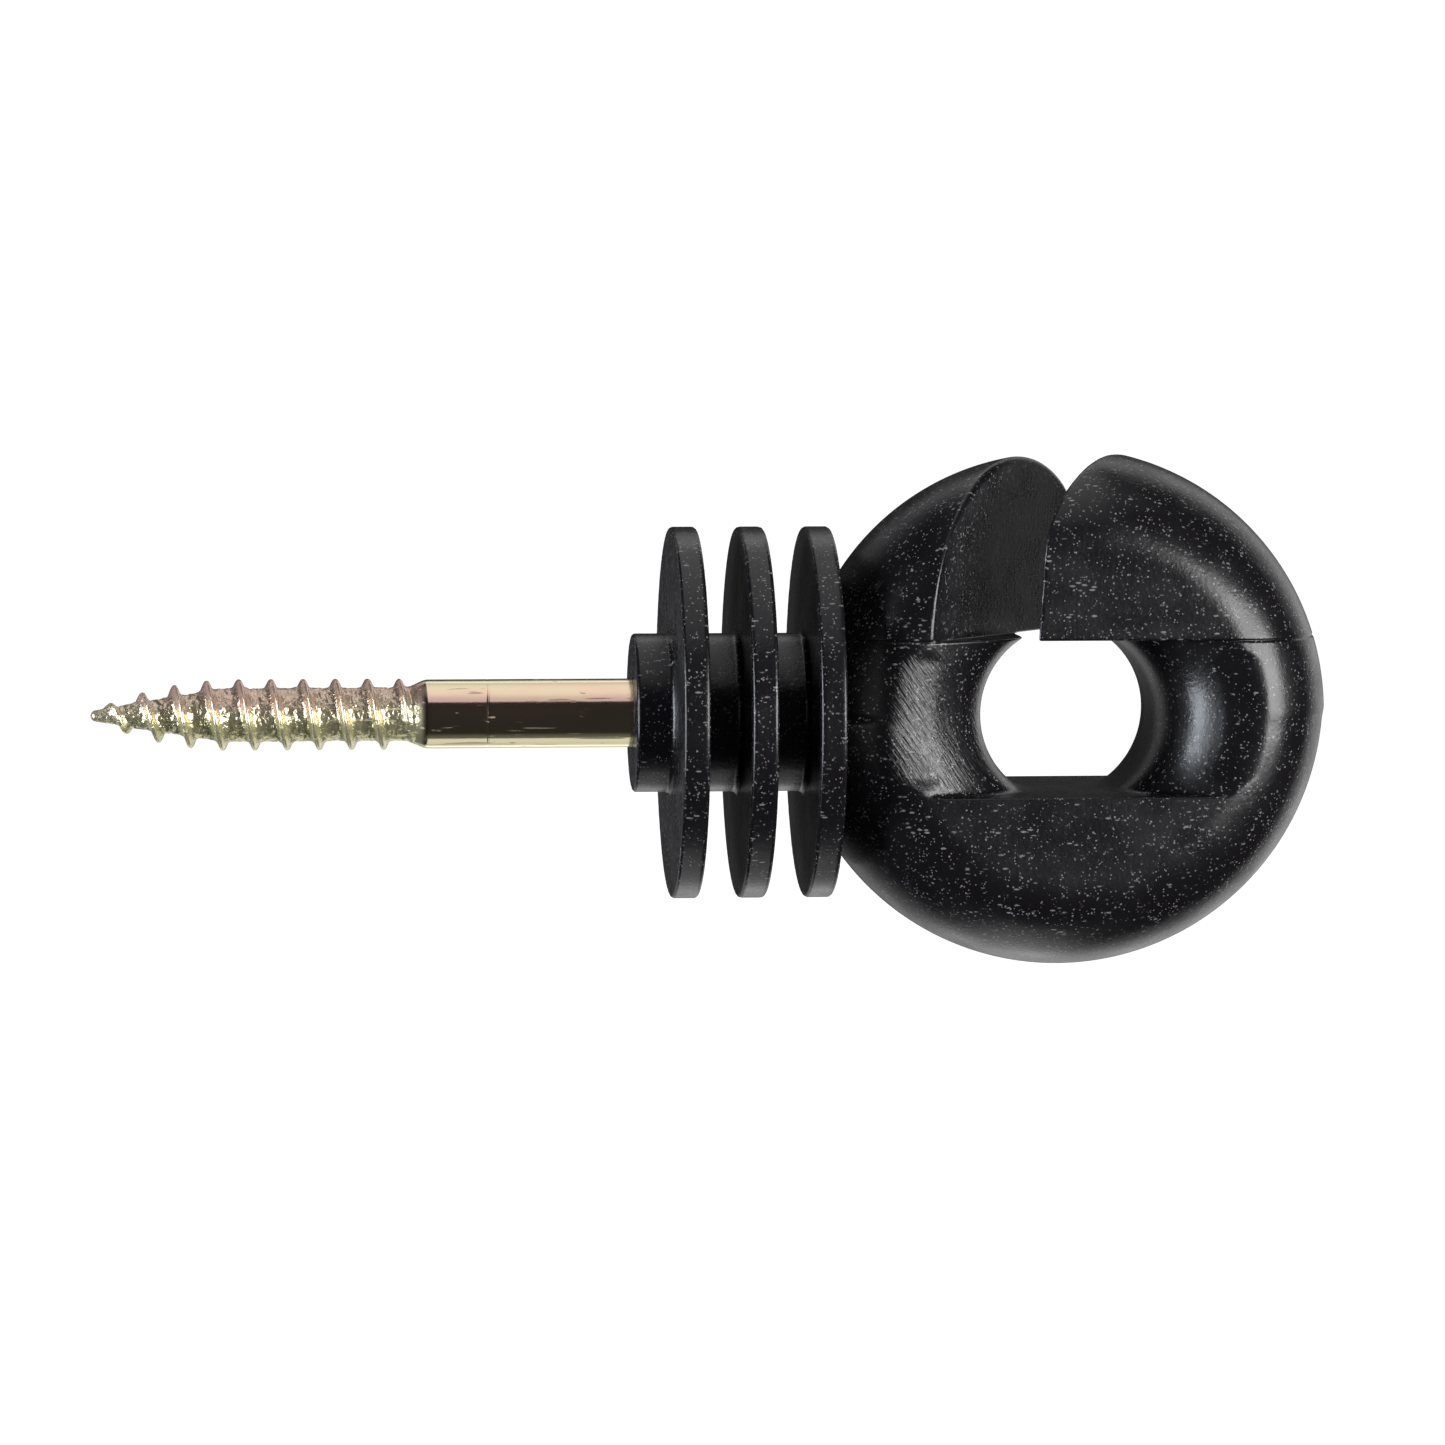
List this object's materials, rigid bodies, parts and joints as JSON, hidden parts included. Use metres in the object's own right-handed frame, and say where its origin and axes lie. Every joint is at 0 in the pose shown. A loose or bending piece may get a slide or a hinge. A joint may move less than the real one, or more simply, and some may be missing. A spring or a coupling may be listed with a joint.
{
  "type": "fence insulator",
  "caption": "Ring insulator that holds an electric fence rope in a slotted, flared eye, with a finned hub and a long wood screw moulded in.",
  "frame": {"origin": "on the screw's axis, where the plain shank leaves the hub's end face", "axes": "+X along the screw towards the ring head, +Y through the rope eye towards its back, +Z towards the side with the rope slot"},
  "size_m": [0.1044, 0.0314, 0.0434],
  "materials": {
    "black_plastic": "satin moulded polypropylene with flow marks and fine pale specks",
    "yellow_zinc_steel": "zinc plated steel with an iridescent yellow passivation"
  },
  "bodies": {
    "root": {"insulator_body": "black_plastic", "wood_screw": "yellow_zinc_steel"}
  },
  "joints": []
}
